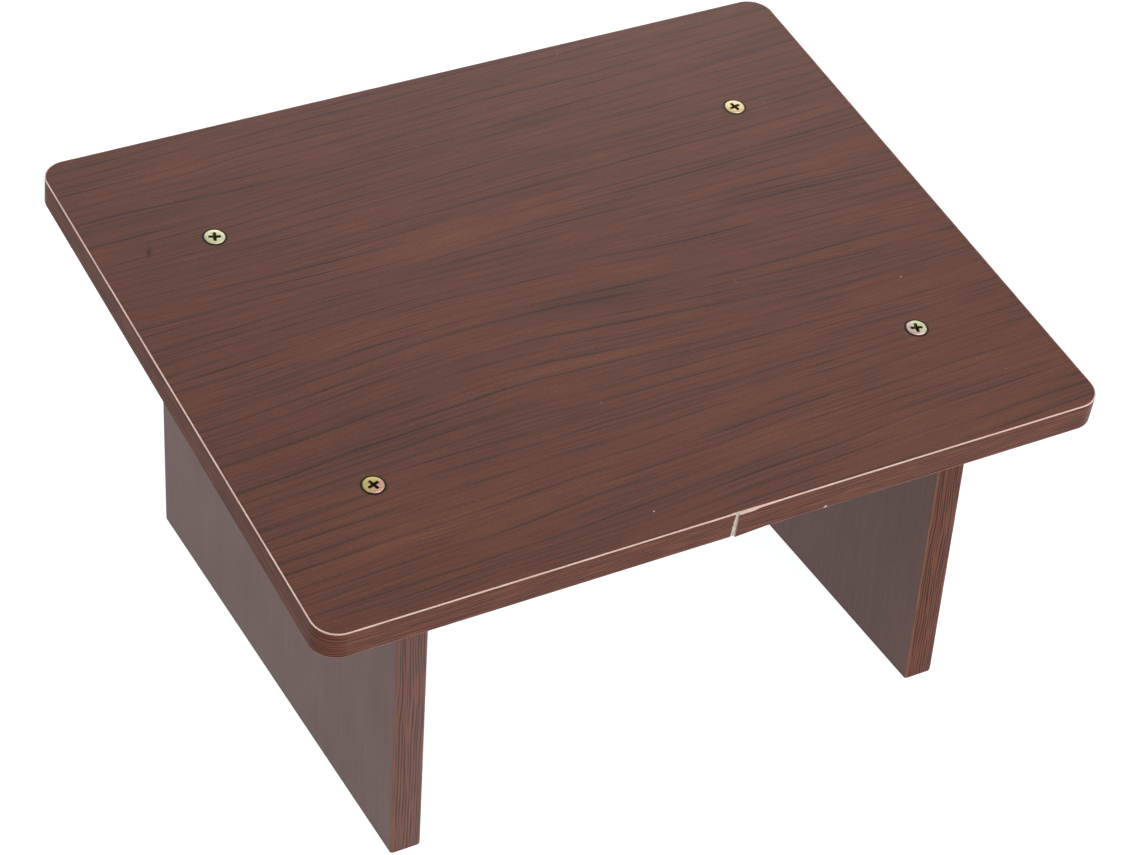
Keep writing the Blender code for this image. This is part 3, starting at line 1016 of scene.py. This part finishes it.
def finish_boards():
    particleboard = particleboard_look()
    for node in ("shelf_core", "left_leg_core", "right_leg_core"):
        paint(node, particleboard)
    paint("shelf_top_laminate", shelf_top_look())
    paint("shelf_bottom_laminate", board_look("shelf_underside_print", ALONG, UPHILL, 83.0))
    for k, side in enumerate(("left", "right")):
        for j, face in enumerate(("outer", "inner")):
            specular = LEG_OUTER_SPECULAR if face == "outer" else BOARD_SPECULAR
            look = board_look(f"{side}_leg_{face}_print", UP, BACK, 11.0 + 17.0 * k + 41.0 * j, specular)
            paint(f"{side}_leg_{face}_laminate", look)


# ---------------------------------------------------------------- camera, light and floor

CAMERA_PLACE = Vector((-0.6343, -1.0766, 1.0874))
CAMERA_HEADING = math.radians(30.83)   # clockwise from +Y, seen from above
CAMERA_DIP = math.radians(38.06)
CAMERA_ROLL = math.radians(4.07)       # its right side is the higher one
CAMERA_LENS = 103.33                   # in millimetres
SENSOR_WIDTH = 36.0

ROOM_HORIZON = (0.42, 0.42, 0.42, 1)
ROOM_OVERHEAD = (0.20, 0.20, 0.20, 1)
FLOOR_HALF = 6.0
FLOOR_HEIGHT = -0.1 * MM               # just under the feet, whose lower faces lie at 0
FLOOR_COLOUR = (0.22, 0.22, 0.22, 1)
FLOOR_GLOW = (0.97, 0.985, 1.0, 1)
FLOOR_GLOW_STRENGTH = 0.96

# Each softbox's place, what it faces, its width and height in metres, and its power in watts
STAND_MIDDLE = (0, 0, 0.1)
SOFTBOXES = {
    "key": ((0.3, -2.1, 1.6), STAND_MIDDLE, (1.6, 1.2), 34),
    "top": ((1.2, -0.5, 2.0), STAND_MIDDLE, (1.4, 1.2), 32),
    "left": ((-2.0, -0.3, 2.2), STAND_MIDDLE, (1.2, 1.0), 13),
    "back": ((0.9, 1.8, 1.2), (0.0, 0.1, 0.2), (1.5, 0.8), 15),
}


def add_camera():
    camera = bpy.data.objects.new("camera", bpy.data.cameras.new("camera"))
    camera.data.lens = CAMERA_LENS
    camera.data.sensor_width = SENSOR_WIDTH
    camera.location = CAMERA_PLACE
    turn = Matrix.Rotation(-CAMERA_HEADING, 4, "Z") @ Matrix.Rotation(math.pi / 2 - CAMERA_DIP, 4, "X")
    camera.rotation_euler = (turn @ Matrix.Rotation(CAMERA_ROLL, 4, "Z")).to_euler()
    bpy.context.scene.collection.objects.link(camera)
    bpy.context.scene.camera = camera


def add_softbox(name, place, target, size, power):
    data = bpy.data.lights.new(name, "AREA")
    data.shape = "RECTANGLE"
    data.size, data.size_y = size
    data.energy = power
    lamp = bpy.data.objects.new(name, data)
    lamp.location = place
    lamp.rotation_euler = (Vector(target) - Vector(place)).to_track_quat("-Z", "Y").to_euler()
    bpy.context.scene.collection.objects.link(lamp)


def add_world():
    """A soft grey room, dimmer overhead than near the horizon."""
    world = bpy.data.worlds.new("studio")
    world.use_nodes = True
    bpy.context.scene.world = world
    tree = world.node_tree
    coordinates = tree.nodes.new("ShaderNodeTexCoord")
    split = tree.nodes.new("ShaderNodeSeparateXYZ")
    ramp = tree.nodes.new("ShaderNodeValToRGB")
    tree.links.new(coordinates.outputs["Generated"], split.inputs["Vector"])
    tree.links.new(split.outputs["Z"], ramp.inputs["Fac"])
    tree.links.new(ramp.outputs["Color"], tree.nodes["Background"].inputs["Color"])
    ramp.color_ramp.elements[0].position = 0.10
    ramp.color_ramp.elements[0].color = ROOM_HORIZON
    ramp.color_ramp.elements[1].position = 0.70
    ramp.color_ramp.elements[1].color = ROOM_OVERHEAD
    tree.nodes["Background"].inputs["Strength"].default_value = 1.0


def add_floor():
    """A pale floor far larger than the stand, which glows like a light table."""
    bm = bmesh.new()
    corners = ((-1, -1), (1, -1), (1, 1), (-1, 1))
    bm.faces.new([bm.verts.new((x * FLOOR_HALF, y * FLOOR_HALF, FLOOR_HEIGHT)) for x, y in corners])
    mesh = bpy.data.meshes.new("floor")
    bm.to_mesh(mesh)
    bm.free()
    floor = bpy.data.objects.new("floor", mesh)
    bpy.context.scene.collection.objects.link(floor)
    material = bpy.data.materials.new("floor_white")
    material.use_nodes = True
    shader = material.node_tree.nodes["Principled BSDF"]
    shader.inputs["Base Color"].default_value = FLOOR_COLOUR
    shader.inputs["Roughness"].default_value = 0.9
    shader.inputs["Emission Color"].default_value = FLOOR_GLOW
    shader.inputs["Emission Strength"].default_value = FLOOR_GLOW_STRENGTH
    mesh.materials.append(material)


finish_boards()
make_shelf_band()
make_joint_glue()
make_leg_bands()
make_screws()
add_camera()
add_world()
add_floor()
for name, (place, target, size, power) in SOFTBOXES.items():
    add_softbox(name, place, target, size, power)
bpy.context.scene.view_settings.view_transform = "Standard"
